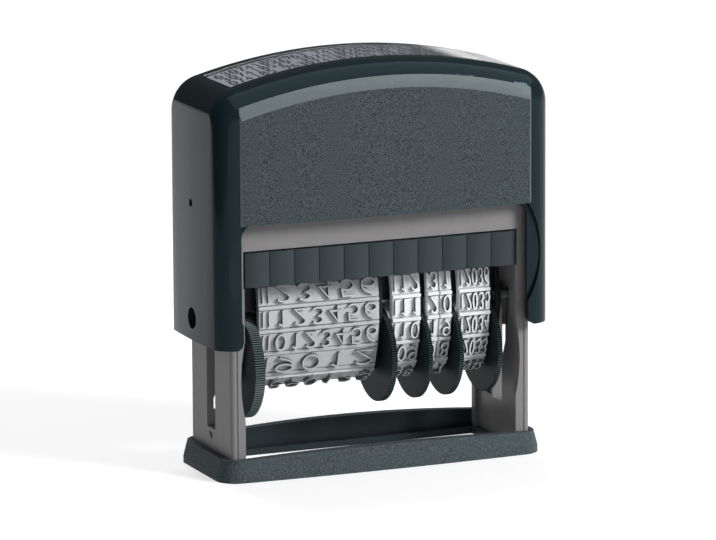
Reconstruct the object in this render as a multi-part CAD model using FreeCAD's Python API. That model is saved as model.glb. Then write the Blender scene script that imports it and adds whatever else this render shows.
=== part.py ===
import FreeCAD, Part
import math
import os

# Self-inking dater stamp. Millimetres, +X to the right, front towards -Y, +Z up.
# The origin is the middle of the base's underside.

V = FreeCAD.Vector
os.makedirs("parts", exist_ok=True)

# Housing that is pressed down
housing_width = 67.0
housing_depth = 25.9
housing_wall = 1.6
crown_wall = 3.2
crown_height = 76.5
crown_radius = 106.0
shoulder_radius = 6.5
edge_round = 4.5
side_bow = 0.5
skirt_below_axle = 4.1
skirt_corner = 1.5
skirt_width = 5.1
front_opening_top = 48.0
front_opening_corner = 2.5
side_hole_height = 50.6
side_hole_radius = 0.75

# Raised panels on the front and back of the housing
panel_side_margin = 4.6
panel_end_drop = 6.85
panel_middle_drop = 2.65
panel_end_stand = 0.4
panel_middle_stand = 1.0
panel_bevel_height = 2.3
panel_bevel_depth = 0.7
panel_side_bevel = 0.35

# Finger scoops beside the opening
scoop_height = 18.3
scoop_width = 2.65
scoop_depth = 0.8
scoop_centre_height = 38.8

# Clear window and the card under it
window_end_margin = 5.2
window_width = 14.0
window_thickness = 1.2
card_thickness = 0.25
card_margin = 0.7
card_gap = 0.05
window_gap = 0.1

# Lower frame
leg_gap = 0.3
frame_front_gap = 1.25
frame_shoulder = 2.5
web_thickness = 2.0
flange_width = 2.8
flange_thickness = 1.4
deck_thickness = 1.5
slot_floor_gap = 0.2
slot_web_margin = 0.6
ledge_thickness = 0.7
wheel_notch_depth = 0.8
wheel_notch_height = 15.5
wheel_notch_centre = 18.5
leg_corner = 0.8
flange_line_inset = 1.2
flange_line_width = 0.3
flange_line_depth = 0.15
mark_width = 2.8
mark_length = 1.3
mark_depth = 0.3
mark_height = 6.7

# Base ring
base_end_reach = 2.3
base_front_reach = 1.75
base_top_end_reach = 0.55
base_top_front_reach = 1.4
base_corner = 4.0
base_foot = 1.2
base_loft_top = 7.0
base_bow = 0.7
base_end_rise = 4.15
base_front_rise = 4.75
base_back_rise = 5.4
leg_seat = 0.6
flange_seat = 1.5
pocket_gap = 0.1

# Press, axle and cam
stroke = 18.9
axle_height = 29.1
axle_radius = 1.8
axle_gap = 0.1
axle_hole_radius = 2.0
slot_gap = 0.25
cam_arm = -4.0
follower_radius = 1.0
follower_gap = 0.15
groove_depth = 0.7
groove_run_out = 1.6
groove_floor_gap = 0.15

# Yoke inside the housing
yoke_thickness = 1.4
yoke_width = 9.0
yoke_gap = 0.3
yoke_eye_radius = 3.9

# Return spring
spring_wire = 0.9
spring_radius = 5.0
spring_half_turns = 13
spring_seat_gap = 0.05
spring_post_radius = 3.6
spring_post_height = 3.0

# Ink cartridge and pad
tray_end_gap = 0.35
tray_wall = 1.5
grip_end_gap = 1.4
grip_stand = 0.4
grip_height = 6.4
grip_scallops = 11
scallop_height = 0.5
cartridge_gap = 0.3
tray_roof = 1.0
pad_gap = 0.1
pad_roof_gap = 0.15
pad_thickness = 1.75
pad_stand = 0.1
ink_gap = 0.3

# Print unit
type_reach = 10.1
wheel_drop = 9.6
cheek_gap = 0.85
cheek_thickness = 1.05
cheek_axle_round = 5.4
cheek_shaft_round = 3.2
cheek_head_width = 8.0
bar_half_depth = 3.6
bar_round = 1.0
bar_height = 6.9
divider_thickness = 0.6
divider_head_width = 9.6
divider_stand = 0.8
divider_fit = 0.05
shaft_radius = 1.0
shaft_gap = 0.04
detent_thickness = 0.3
detent_width = 2.0
detent_gap = 0.3

# Bands and their drums
band_thickness = 0.8
band_pad_height = 0.35
letter_height = 1.0
word_ridge_height = 0.45
date_ridge_height = 0.75
ridge_width = 0.6
row_pad_length = 3.3
row_pitch = 4.3
band_bar_gap = 0.15
band_side_bulge = 0.95
band_drum_radius = 2.8
band_drum_gap = 0.15
band_leave_angle = 20.0

# Thumb wheels
word_wheel_radius = 9.8
date_wheel_radius = 9.15
knurl_depth = 0.2
knurl_pitch = 0.46
wheel_run_gap = 0.3
band_run_gap = 0.35
disc_widths = {"phrase": 1.95, "month": 1.1, "tens": 0.8, "units": 0.85, "year": 0.9}
band_widths = {"month": 5.65, "tens": 2.2, "units": 2.3, "year": 6.3}

# How far cutters run past a face and past the whole object, and how near counts as the same place
cut_past = 1.0
beyond = 200.0
same_place = 0.01

# Heights and widths that follow from the sizes above
crown_centre = crown_height - crown_radius
skirt_bottom = axle_height - skirt_below_axle
front_opening_width = housing_width - 2 * skirt_width
panel_width = housing_width - 2 * panel_side_margin
panel_end_top = crown_height - panel_end_drop
panel_middle_top = crown_height - panel_middle_drop
window_length = housing_width - 2 * window_end_margin
yoke_outer = housing_width / 2 - housing_wall - yoke_gap
leg_outer = yoke_outer - yoke_thickness - leg_gap
leg_inner = leg_outer - flange_width
web_inner = leg_outer - web_thickness
frame_depth = housing_depth - 2 * (housing_wall + frame_front_gap)
frame_top = front_opening_top
base_width = 2 * (leg_outer + base_end_reach)
base_depth = frame_depth + 2 * base_front_reach
base_top_width = 2 * (leg_outer + base_top_end_reach)
base_top_depth = frame_depth + 2 * base_top_front_reach
window_x = 2 * (leg_inner - leg_seat)
window_y = frame_depth - 2 * flange_seat
shaft_height = axle_height - wheel_drop
type_face = axle_height + type_reach
belt_top = type_face - letter_height - band_pad_height - band_thickness
bar_top = belt_top - band_bar_gap
cheek_outer = leg_inner - cheek_gap
cheek_inner = cheek_outer - cheek_thickness
pad_face = type_face + ink_gap
tray_bottom = pad_face + pad_stand
tray_top = pad_face + pad_thickness + pad_roof_gap + tray_roof
ledge_top = tray_bottom - cartridge_gap
cartridge_slot_top = tray_top + cartridge_gap
cartridge_slot_width = 2 * (web_inner - slot_web_margin)
deck_top = cartridge_slot_top + deck_thickness
tray_width = cartridge_slot_width - 2 * tray_end_gap
tray_depth = frame_depth - 2 * (flange_thickness + cartridge_gap)
grip_width = front_opening_width - 2 * grip_end_gap
grip_reach = frame_depth / 2 + grip_stand
grip_bottom = tray_top - grip_height
cartridge_slot_bottom = grip_bottom - slot_floor_gap


# Where each wheel's disc and band lie along the shaft: disc from, disc to, band from, band to.
# The date wheels are set out from the right cheek inwards, and the word band takes what is left.
def set_out_wheels():
    places = {}
    x = cheek_inner - wheel_run_gap
    for name in ("year", "units"):
        disc_from = x - disc_widths[name]
        band_to = disc_from - wheel_run_gap
        band_from = band_to - band_widths[name]
        places[name] = (disc_from, x, band_from, band_to)
        x = band_from - band_run_gap
    for name in ("tens", "month"):
        band_from = x - band_widths[name]
        disc_to = band_from - wheel_run_gap
        disc_from = disc_to - disc_widths[name]
        places[name] = (disc_from, disc_to, band_from, x)
        x = disc_from - band_run_gap
    divider_from = x + band_run_gap - wheel_run_gap - divider_thickness
    disc_from = wheel_run_gap - cheek_inner
    disc_to = disc_from + disc_widths["phrase"]
    places["phrase"] = (disc_from, disc_to, disc_to + band_run_gap, divider_from - band_run_gap)
    return places, divider_from


wheel_places, divider_start = set_out_wheels()


def box(x0, x1, y0, y1, z0, z1):
    return Part.makeBox(x1 - x0, y1 - y0, z1 - z0, V(x0, y0, z0))


def rod_along_x(x0, x1, y, z, radius):
    return Part.makeCylinder(radius, x1 - x0, V(x0, y, z), V(1, 0, 0))


def mirror_x(shape):
    return shape.mirror(V(0, 0, 0), V(1, 0, 0))


def mirror_y(shape):
    return shape.mirror(V(0, 0, 0), V(0, 1, 0))


def fuse_all(shapes):
    joined = shapes[0].fuse(shapes[1:]) if len(shapes) > 1 else shapes[0]
    return joined.removeSplitter()


def line(a, b):
    return Part.LineSegment(a, b).toShape()


def arc(a, b, c):
    return Part.Arc(a, b, c).toShape()


def face_from(edges):
    return Part.Face(Part.Wire(edges))


def polygon_face(points):
    return Part.Face(Part.makePolygon(points + [points[0]]))


def save(name, shape):
    if shape.ShapeType == "Compound" and len(shape.Solids) == 1:
        shape = shape.Solids[0]
    if not shape.isValid():
        print("not valid:", name)
    shape.exportStep("parts/" + name + ".step")
    print(name, "solids", len(shape.Solids), "volume", round(shape.Volume, 1))
    return shape


# Outline of the housing seen from the front: straight sides, round shoulders, arched crown
def crown_face(side_inset, top_inset, bottom):
    half = housing_width / 2 - side_inset
    radius = crown_radius - top_inset
    corner = shoulder_radius - side_inset
    corner_x = half - corner
    rise = math.sqrt((radius - corner) ** 2 - corner_x**2)
    corner_z = crown_centre + rise
    reach = radius / (radius - corner)
    end_x = corner_x * reach
    end_z = crown_centre + rise * reach
    slope = math.atan2(end_z - corner_z, end_x - corner_x) / 2
    middle_x = corner_x + corner * math.cos(slope)
    middle_z = corner_z + corner * math.sin(slope)
    edges = [
        line(V(-half, 0, bottom), V(half, 0, bottom)),
        line(V(half, 0, bottom), V(half, 0, corner_z)),
        arc(V(half, 0, corner_z), V(middle_x, 0, middle_z), V(end_x, 0, end_z)),
        arc(V(end_x, 0, end_z), V(0, 0, crown_centre + radius), V(-end_x, 0, end_z)),
        arc(V(-end_x, 0, end_z), V(-middle_x, 0, middle_z), V(-half, 0, corner_z)),
        line(V(-half, 0, corner_z), V(-half, 0, bottom)),
    ]
    return face_from(edges)


# The outline given a depth, with its front and back edges rounded all the way round
def pillow(side_inset, top_inset, half_depth, rounding, bottom):
    block = crown_face(side_inset, top_inset, bottom).extrude(V(0, 2 * half_depth, 0))
    block.translate(V(0, -half_depth, 0))
    rim = [
        e
        for e in block.Edges
        if abs(abs(e.CenterOfMass.y) - half_depth) < same_place
        and e.CenterOfMass.z > bottom + same_place
    ]
    return block.makeFillet(rounding, rim)


# Upright prism whose side faces bow outwards by the side bow
def bowed_sides():
    half_x = housing_width / 2
    half_y = housing_depth
    inner_x = half_x - side_bow * (half_y / (housing_depth / 2)) ** 2
    edges = [
        line(V(-inner_x, -half_y, 0), V(inner_x, -half_y, 0)),
        arc(V(inner_x, -half_y, 0), V(half_x, 0, 0), V(inner_x, half_y, 0)),
        line(V(inner_x, half_y, 0), V(-inner_x, half_y, 0)),
        arc(V(-inner_x, half_y, 0), V(-half_x, 0, 0), V(-inner_x, -half_y, 0)),
    ]
    return face_from(edges).extrude(V(0, 0, crown_height * 2))


# Raised front panel: bowed in plan, arched at the top, with a tall bevel along the arch
def front_panel():
    half = panel_width / 2
    front = housing_depth / 2
    back = front - housing_wall
    plan = face_from(
        [
            line(V(-half, -back, 0), V(half, -back, 0)),
            line(V(half, -back, 0), V(half, -front - panel_end_stand, 0)),
            arc(
                V(half, -front - panel_end_stand, 0),
                V(0, -front - panel_middle_stand, 0),
                V(-half, -front - panel_end_stand, 0),
            ),
            line(V(-half, -front - panel_end_stand, 0), V(-half, -back, 0)),
        ]
    )
    plate = plan.extrude(V(0, 0, crown_height - front_opening_top))
    plate.translate(V(0, 0, front_opening_top))
    over = housing_depth
    outline = face_from(
        [
            line(V(-half, -over, front_opening_top), V(half, -over, front_opening_top)),
            line(V(half, -over, front_opening_top), V(half, -over, panel_end_top)),
            arc(
                V(half, -over, panel_end_top),
                V(0, -over, panel_middle_top),
                V(-half, -over, panel_end_top),
            ),
            line(V(-half, -over, panel_end_top), V(-half, -over, front_opening_top)),
        ]
    ).extrude(V(0, over, 0))
    plate = plate.common(outline)
    front_y = -front - panel_end_stand
    arch = [
        e
        for e in plate.Edges
        if e.CenterOfMass.z > panel_end_top and e.CenterOfMass.y < front_y and e.Length > half
    ]
    plate = plate.makeChamfer(panel_bevel_depth, panel_bevel_height, arch)
    sides = [
        e
        for e in plate.Edges
        if abs(abs(e.CenterOfMass.x) - half) < same_place
        and abs(e.CenterOfMass.y - front_y) < same_place
        and e.CenterOfMass.z < panel_end_top - panel_bevel_height
    ]
    return plate.makeChamfer(panel_side_bevel, sides)


# Window in the housing's lower front and back, flared at its bottom corners
def opening_cutter():
    half = front_opening_width / 2
    top = front_opening_top
    corner = front_opening_corner
    flare = skirt_corner
    low = skirt_bottom
    turn = 1 - math.sqrt(0.5)
    right = [
        line(V(half + flare, 0, low - cut_past), V(half + flare, 0, low)),
        arc(
            V(half + flare, 0, low),
            V(half + flare * turn, 0, low + flare * turn),
            V(half, 0, low + flare),
        ),
        line(V(half, 0, low + flare), V(half, 0, top - corner)),
        arc(
            V(half, 0, top - corner),
            V(half - corner * turn, 0, top - corner * turn),
            V(half - corner, 0, top),
        ),
    ]
    left = [e.mirror(V(0, 0, 0), V(1, 0, 0)) for e in right]
    edges = right + left
    edges.append(line(V(half - corner, 0, top), V(corner - half, 0, top)))
    edges.append(line(V(half + flare, 0, low - cut_past), V(-half - flare, 0, low - cut_past)))
    face = Part.Face(Part.Wire(Part.__sortEdges__(edges)))
    cutter = face.extrude(V(0, 2 * housing_depth, 0))
    cutter.translate(V(0, -housing_depth, 0))
    return cutter


# Shallow scoop in the skirt: part of a large round, sunk to one depth
def scoop_cutter():
    half_height = scoop_height / 2
    radius = (half_height**2 + scoop_width**2) / (2 * scoop_width)
    edge = front_opening_width / 2
    floor = scoop_depth - housing_depth / 2
    middle = V(edge + scoop_width - radius, floor - housing_depth, scoop_centre_height)
    disc = Part.makeCylinder(radius, housing_depth, middle, V(0, 1, 0))
    keep = box(
        edge - housing_wall,
        housing_width,
        -2 * housing_depth,
        0,
        skirt_bottom,
        front_opening_top,
    )
    return disc.common(keep)


# Part of the arched crown from one depth to another, cut to a length and width
def crown_slab(top_inset, thickness, length, width):
    outer = crown_radius - top_inset
    inner = outer - thickness
    slope = math.asin(length / 2 / crown_radius)

    def at(radius, angle):
        return V(radius * math.sin(angle), 0, crown_centre + radius * math.cos(angle))

    face = face_from(
        [
            arc(at(outer, -slope), at(outer, 0), at(outer, slope)),
            line(at(outer, slope), at(inner, slope)),
            arc(at(inner, slope), at(inner, 0), at(inner, -slope)),
            line(at(inner, -slope), at(outer, -slope)),
        ]
    )
    slab = face.extrude(V(0, width, 0))
    slab.translate(V(0, -width / 2, 0))
    return slab


def outer_housing():
    half_depth = housing_depth / 2
    body = pillow(0, 0, half_depth, edge_round, skirt_bottom)
    body = body.common(bowed_sides())
    panel = front_panel()
    body = body.fuse([panel, mirror_y(panel)])
    cavity = pillow(
        housing_wall,
        crown_wall,
        half_depth - housing_wall,
        edge_round - housing_wall,
        skirt_bottom - housing_wall,
    )
    body = body.cut(cavity)
    scoop = scoop_cutter()
    scoops = [scoop, mirror_x(scoop), mirror_y(scoop), mirror_y(mirror_x(scoop))]
    holes = [
        rod_along_x(-beyond / 2, beyond / 2, 0, axle_height, axle_hole_radius),
        rod_along_x(-beyond / 2, beyond / 2, 0, side_hole_height, side_hole_radius),
    ]
    pocket_depth = window_thickness + window_gap
    pocket = crown_slab(-cut_past, cut_past + pocket_depth, window_length, window_width)
    card_depth = pocket_depth + card_thickness + card_gap
    card_pocket = crown_slab(
        0, card_depth, window_length - card_margin, window_width - 2 * card_margin
    )
    body = body.cut([opening_cutter(), pocket, card_pocket] + scoops + holes)
    return body.removeSplitter()


def window_cap():
    length = window_length - 2 * window_gap
    width = window_width - 2 * window_gap
    return crown_slab(0, window_thickness, length, width)


def label_card():
    length = window_length - card_margin - 2 * window_gap
    width = window_width - 2 * card_margin - 2 * window_gap
    return crown_slab(window_thickness + card_gap, card_thickness, length, width)


# Bow that follows the inside of the housing and ends round the axle on each side
def yoke():
    outer_inset = housing_wall + yoke_gap
    top_inset = crown_wall + yoke_gap
    outer = crown_face(outer_inset, top_inset, axle_height)
    inner = crown_face(outer_inset + yoke_thickness, top_inset + yoke_thickness, axle_height)
    bow = outer.cut(inner).extrude(V(0, yoke_width, 0))
    bow.translate(V(0, -yoke_width / 2, 0))
    eye = rod_along_x(yoke_outer - yoke_thickness, yoke_outer, 0, axle_height, yoke_eye_radius)
    bow = fuse_all([bow, eye, mirror_x(eye)])
    bore = rod_along_x(-housing_width, housing_width, 0, axle_height, axle_radius + axle_gap / 2)
    return bow.cut(bore)


def axle_pin():
    return rod_along_x(cheek_inner + axle_gap, yoke_outer, 0, axle_height, axle_radius)


# Two tangent arcs from one point and direction to another
def two_arcs(p0, t0, p1, t1):
    gap = p1 - p0
    both = t0 + t1
    a = both.dot(both) - 4
    b = -2 * gap.dot(both)
    c = gap.dot(gap)
    reach = (-b - math.sqrt(b * b - 4 * a * c)) / (2 * a)
    first = p0 + t0 * reach
    second = p1 - t1 * reach
    joint = (first + second) * 0.5
    edges = []
    for start, knee, end in ((p0, first, joint), (joint, second, p1)):
        weight = (end - start).Length / (2 * reach)
        middle = (start + knee * (2 * weight) + end) * (1 / (2 + 2 * weight))
        edges.append(arc(start, middle, end))
    return edges


# Path of the cam follower while the print unit turns half a turn over the stroke
def follower_at(angle):
    drop = stroke * angle / math.pi
    y = cam_arm * math.cos(angle)
    z = axle_height - drop + cam_arm * math.sin(angle)
    return V(0, y, z)


# Cutter for a groove as wide as the follower and its gap, with a straight run-out at each end
def cam_groove():
    half = follower_radius + follower_gap
    steps = 6
    edges = []
    tops = []
    feet = []
    for side in (1, -1):
        points = []
        runs = []
        for i in range(steps + 1):
            angle = math.pi * i / steps
            fall = stroke / math.pi - cam_arm * math.cos(angle)
            run = V(0, -cam_arm * math.sin(angle), -fall).normalize()
            points.append(follower_at(angle) + V(0, -run.z, run.y) * half * side)
            runs.append(run)
        for i in range(steps):
            edges += two_arcs(points[i], runs[i], points[i + 1], runs[i + 1])
        top = points[0] + V(0, 0, groove_run_out)
        foot = points[-1] - V(0, 0, groove_run_out)
        edges += [line(top, points[0]), line(points[-1], foot)]
        tops.append(top)
        feet.append(foot)
    edges += [line(tops[0], tops[1]), line(feet[0], feet[1])]
    face = Part.Face(Part.Wire(Part.__sortEdges__(edges)))
    groove = face.extrude(V(cut_past + groove_depth, 0, 0))
    groove.translate(V(web_inner - cut_past, 0, 0))
    return groove


# Upright slot through both webs for the axle pins, round at the top and square at the bottom
def axle_slot():
    half = axle_radius + slot_gap
    low = axle_height - stroke - half
    straight = box(-beyond / 2, beyond / 2, -half, half, low, axle_height)
    return straight.fuse(rod_along_x(-beyond / 2, beyond / 2, 0, axle_height, half))


# Leg's outer block: rounded shoulder, eased corners and a fine upright line in each flange
def leg_block():
    half_depth = frame_depth / 2
    block = box(leg_inner, leg_outer, -half_depth, half_depth, base_foot, frame_top)
    shoulder = [
        e
        for e in block.Edges
        if abs(e.CenterOfMass.x - leg_outer) < same_place
        and abs(e.CenterOfMass.z - frame_top) < same_place
    ]
    block = block.makeFillet(frame_shoulder, shoulder)
    corners = [
        e
        for e in block.Edges
        if abs(e.CenterOfMass.x - leg_outer) < same_place
        and abs(abs(e.CenterOfMass.y) - half_depth) < same_place
    ]
    block = block.makeFillet(leg_corner, corners)
    line_x = leg_outer - flange_line_inset
    floor = half_depth - flange_line_depth
    groove = box(
        line_x - flange_line_width / 2,
        line_x + flange_line_width / 2,
        -half_depth - cut_past,
        -floor,
        0,
        frame_top - frame_shoulder,
    )
    return block.cut([groove, mirror_y(groove)])


def leg():
    half_depth = frame_depth / 2
    outer = leg_block()
    inside = half_depth - flange_thickness
    body = outer.cut(box(0, web_inner, -inside, inside, 0, frame_top + cut_past))
    slot_half = cartridge_slot_width / 2
    body = body.cut(
        box(0, slot_half, -frame_depth, frame_depth, cartridge_slot_bottom, cartridge_slot_top)
    )
    low = wheel_notch_centre - wheel_notch_height / 2
    high = wheel_notch_centre + wheel_notch_height / 2
    edge = leg_inner - pocket_gap
    notch = face_from(
        [
            arc(
                V(edge, -frame_depth, low),
                V(leg_inner + wheel_notch_depth, -frame_depth, wheel_notch_centre),
                V(edge, -frame_depth, high),
            ),
            line(V(edge, -frame_depth, high), V(edge, -frame_depth, low)),
        ]
    ).extrude(V(0, 2 * frame_depth, 0))
    mark_x = leg_outer - mark_depth
    mark = polygon_face(
        [
            V(mark_x, -mark_width / 2, mark_height + mark_length / 2),
            V(mark_x, mark_width / 2, mark_height + mark_length / 2),
            V(mark_x, 0, mark_height - mark_length / 2),
        ]
    ).extrude(V(mark_depth + cut_past, 0, 0))
    ledge_y = tray_depth / 2 - cartridge_gap
    ledge = box(
        cheek_outer + wheel_run_gap,
        web_inner,
        -ledge_y,
        ledge_y,
        ledge_top - ledge_thickness,
        ledge_top,
    )
    for cutter in (notch, mark, cam_groove()):
        body = body.cut(cutter)
    return body.fuse(ledge)


def lower_frame():
    half_depth = frame_depth / 2
    side = leg()
    bar = box(
        -leg_inner,
        leg_inner,
        -half_depth,
        flange_thickness - half_depth,
        cartridge_slot_top,
        frame_top,
    )
    deck = box(-web_inner, web_inner, -half_depth, half_depth, cartridge_slot_top, deck_top)
    post = Part.makeCylinder(spring_post_radius, spring_post_height, V(0, 0, deck_top))
    body = fuse_all([side, mirror_x(side), bar, mirror_y(bar), deck, post])
    return body.cut(axle_slot())


# Outline of the base ring at one height, its long sides bowed outwards
def ring_wire(width, depth, corner, z):
    x = width / 2
    y = depth / 2
    bow = base_bow
    turn = corner * (1 - math.sqrt(0.5))
    edges = [
        arc(V(corner - x, -y, z), V(0, -y - bow, z), V(x - corner, -y, z)),
        arc(V(x - corner, -y, z), V(x - turn, turn - y, z), V(x, corner - y, z)),
        line(V(x, corner - y, z), V(x, y - corner, z)),
        arc(V(x, y - corner, z), V(x - turn, y - turn, z), V(x - corner, y, z)),
        arc(V(x - corner, y, z), V(0, y + bow, z), V(corner - x, y, z)),
        arc(V(corner - x, y, z), V(turn - x, y - turn, z), V(-x, y - corner, z)),
        line(V(-x, y - corner, z), V(-x, corner - y, z)),
        arc(V(-x, corner - y, z), V(turn - x, turn - y, z), V(corner - x, -y, z)),
    ]
    return Part.Wire(edges)


# Space above the rim, low at the ends and arched over the middle
def above_rim(rise, y0, y1):
    half = leg_outer
    out = base_width
    top = 2 * base_loft_top
    face = face_from(
        [
            line(V(-out, y0, top), V(-out, y0, base_end_rise)),
            line(V(-out, y0, base_end_rise), V(-half, y0, base_end_rise)),
            arc(V(-half, y0, base_end_rise), V(0, y0, rise), V(half, y0, base_end_rise)),
            line(V(half, y0, base_end_rise), V(out, y0, base_end_rise)),
            line(V(out, y0, base_end_rise), V(out, y0, top)),
            line(V(out, y0, top), V(-out, y0, top)),
        ]
    )
    return face.extrude(V(0, y1 - y0, 0))


def base_skirt():
    foot_wire = ring_wire(base_width, base_depth, base_corner, 0)
    foot = Part.Face(foot_wire).extrude(V(0, 0, base_foot))
    low = ring_wire(base_width, base_depth, base_corner, base_foot)
    slant = (base_width - base_top_width) / 2
    high_corner = base_corner - slant / 2
    high = ring_wire(base_top_width, base_top_depth, high_corner, base_loft_top)
    body = foot.fuse(Part.makeLoft([low, high], True, True))
    pocket_x = leg_outer + pocket_gap
    pocket_y = frame_depth / 2 + pocket_gap
    cuts = [
        above_rim(base_front_rise, -base_depth, 0),
        above_rim(base_back_rise, 0, base_depth),
        box(-pocket_x, pocket_x, -pocket_y, pocket_y, base_foot, 2 * base_loft_top),
        box(-window_x / 2, window_x / 2, -window_y / 2, window_y / 2, -cut_past, 2 * base_foot),
    ]
    return body.cut(cuts).removeSplitter()


# Finger grip with upright convex scallops across its front
def grip(bottom):
    half = grip_width / 2
    inner = tray_depth / 2
    front = grip_reach - scallop_height
    pitch = grip_width / grip_scallops
    edges = [
        line(V(-half, -front, 0), V(-half, -inner, 0)),
        line(V(-half, -inner, 0), V(half, -inner, 0)),
        line(V(half, -inner, 0), V(half, -front, 0)),
    ]
    for i in range(grip_scallops):
        x = half - i * pitch
        edges.append(
            arc(V(x, -front, 0), V(x - pitch / 2, -grip_reach, 0), V(x - pitch, -front, 0))
        )
    body = face_from(Part.__sortEdges__(edges)).extrude(V(0, 0, tray_top - bottom))
    body.translate(V(0, 0, bottom))
    return body


def cartridge_tray():
    half_x = tray_width / 2
    half_y = tray_depth / 2
    block = box(-half_x, half_x, -half_y, half_y, tray_bottom, tray_top)
    body = fuse_all([block, grip(grip_bottom), mirror_y(grip(tray_bottom))])
    inner_x = half_x - tray_wall
    inner_y = half_y - tray_wall
    pocket = box(-inner_x, inner_x, -inner_y, inner_y, 0, tray_top - tray_roof)
    return body.cut(pocket)


def ink_pad():
    x = tray_width / 2 - tray_wall - pad_gap
    y = tray_depth / 2 - tray_wall - pad_gap
    return box(-x, x, -y, y, pad_face, pad_face + pad_thickness)


# Upright plate of the print unit, round at the axle and at the wheel shaft
def unit_plate(x0, x1, head_width, head_top):
    thickness = x1 - x0
    axle_disc = rod_along_x(x0, x1, 0, axle_height, cheek_axle_round)
    shaft_disc = rod_along_x(x0, x1, 0, shaft_height, cheek_shaft_round)
    head = head_width / 2
    lean = math.asin((cheek_axle_round - cheek_shaft_round) / wheel_drop)
    axle_y = cheek_axle_round * math.cos(lean)
    axle_z = axle_height - cheek_axle_round * math.sin(lean)
    shaft_y = cheek_shaft_round * math.cos(lean)
    shaft_z = shaft_height - cheek_shaft_round * math.sin(lean)
    body = polygon_face(
        [
            V(x0, -axle_y, axle_z),
            V(x0, -shaft_y, shaft_z),
            V(x0, shaft_y, shaft_z),
            V(x0, axle_y, axle_z),
            V(x0, axle_y, axle_height),
            V(x0, head, head_top),
            V(x0, -head, head_top),
            V(x0, -axle_y, axle_height),
        ]
    ).extrude(V(thickness, 0, 0))
    return fuse_all([body, axle_disc, shaft_disc])


def carrier_cheek():
    body = unit_plate(cheek_inner, cheek_outer, cheek_head_width, bar_top)
    bores = [
        rod_along_x(0, beyond, 0, axle_height, axle_radius + axle_gap),
        rod_along_x(0, beyond, 0, shaft_height, shaft_radius + shaft_gap),
        rod_along_x(0, beyond, cam_arm, axle_height, follower_radius),
    ]
    return body.cut(bores)


def cam_follower():
    end = web_inner + groove_depth - groove_floor_gap
    return rod_along_x(cheek_inner, end, cam_arm, axle_height, follower_radius)


# Plate that the type bar and the detent spring pass through
def centre_divider():
    end = divider_start + divider_thickness
    body = unit_plate(divider_start, end, divider_head_width, belt_top + divider_stand)
    half = bar_half_depth + divider_fit
    low = bar_top - bar_height - detent_thickness - divider_fit
    past = beyond / 2
    hole = box(-past, past, -half, half, low, bar_top + divider_fit)
    bore = rod_along_x(-past, past, 0, shaft_height, shaft_radius + shaft_gap)
    return body.cut([hole, bore])


def type_bar():
    body = box(
        -cheek_inner,
        cheek_inner,
        -bar_half_depth,
        bar_half_depth,
        bar_top - bar_height,
        bar_top,
    )
    top_edges = [
        e
        for e in body.Edges
        if abs(e.CenterOfMass.z - bar_top) < same_place and abs(e.CenterOfMass.x) < same_place
    ]
    return body.makeFillet(bar_round, top_edges)


def wheel_shaft():
    return rod_along_x(-cheek_outer, cheek_outer, 0, shaft_height, shaft_radius)


# Leaf comb under the type bar, with one sloping finger to each drum
def detent_spring():
    plate_top = bar_top - bar_height
    plate_low = plate_top - detent_thickness
    half = bar_half_depth
    start = wheel_places["phrase"][2]
    end = wheel_places["year"][3]
    plate = box(start, end, -half, half, plate_low, plate_top)
    tip = shaft_height + band_drum_radius - band_drum_gap + detent_gap
    fingers = []
    for place in wheel_places.values():
        x = (place[2] + place[3] - detent_width) / 2
        finger = polygon_face(
            [
                V(x, half - detent_thickness, plate_low),
                V(x, half, plate_low),
                V(x, detent_thickness, tip),
                V(x, 0, tip),
            ]
        ).extrude(V(detent_width, 0, 0))
        fingers.append(finger)
    return fuse_all([plate] + fingers)


# Inner line of a band: flat over the bar, bulged sides, round under the drum
def band_wire(x):
    half = bar_half_depth + band_bar_gap
    corner = bar_round
    turn = corner * (1 - math.sqrt(0.5))
    leave = math.radians(band_leave_angle)
    drum_y = band_drum_radius * math.cos(leave)
    drum_z = shaft_height - band_drum_radius * math.sin(leave)
    side_z = belt_top - corner
    bulge_y = half + band_side_bulge
    bulge_z = (side_z + drum_z) / 2
    edges = [
        line(V(x, corner - half, belt_top), V(x, half - corner, belt_top)),
        arc(
            V(x, half - corner, belt_top),
            V(x, half - turn, belt_top - turn),
            V(x, half, side_z),
        ),
        arc(V(x, half, side_z), V(x, bulge_y, bulge_z), V(x, drum_y, drum_z)),
        arc(
            V(x, drum_y, drum_z),
            V(x, 0, shaft_height - band_drum_radius),
            V(x, -drum_y, drum_z),
        ),
        arc(V(x, -drum_y, drum_z), V(x, -bulge_y, bulge_z), V(x, -half, side_z)),
        arc(
            V(x, -half, side_z),
            V(x, turn - half, belt_top - turn),
            V(x, corner - half, belt_top),
        ),
    ]
    return Part.Wire(edges)


# Point and direction on a wire at a share of its length, from the middle of its first edge
def walk(wire, share):
    left = (wire.Length * share + wire.OrderedEdges[0].Length / 2) % wire.Length
    for edge in wire.OrderedEdges:
        if left <= edge.Length:
            break
        left -= edge.Length
    forward = edge.Orientation == "Forward"
    along = left if forward else edge.Length - left
    where = edge.getParameterByLength(along)
    run = edge.tangentAt(where)
    return edge.valueAt(where), run if forward else run * -1


# Block that stands on the band's outer face, square to it
def row_block(x0, x1, point, run, length, height):
    out = V(0, -run.z, run.y)
    centre = V(0, 0, axle_height - wheel_drop / 2)
    if out.dot(V(0, point.y, point.z) - centre) < 0:
        out = out * -1
    sink = band_thickness * 0.75
    corners = [
        point - run * length / 2 - out * sink,
        point + run * length / 2 - out * sink,
        point + run * length / 2 + out * height,
        point - run * length / 2 + out * height,
    ]
    flat = [V(x0, p.y, p.z) for p in corners]
    return polygon_face(flat).extrude(V(x1 - x0, 0, 0))


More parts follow.
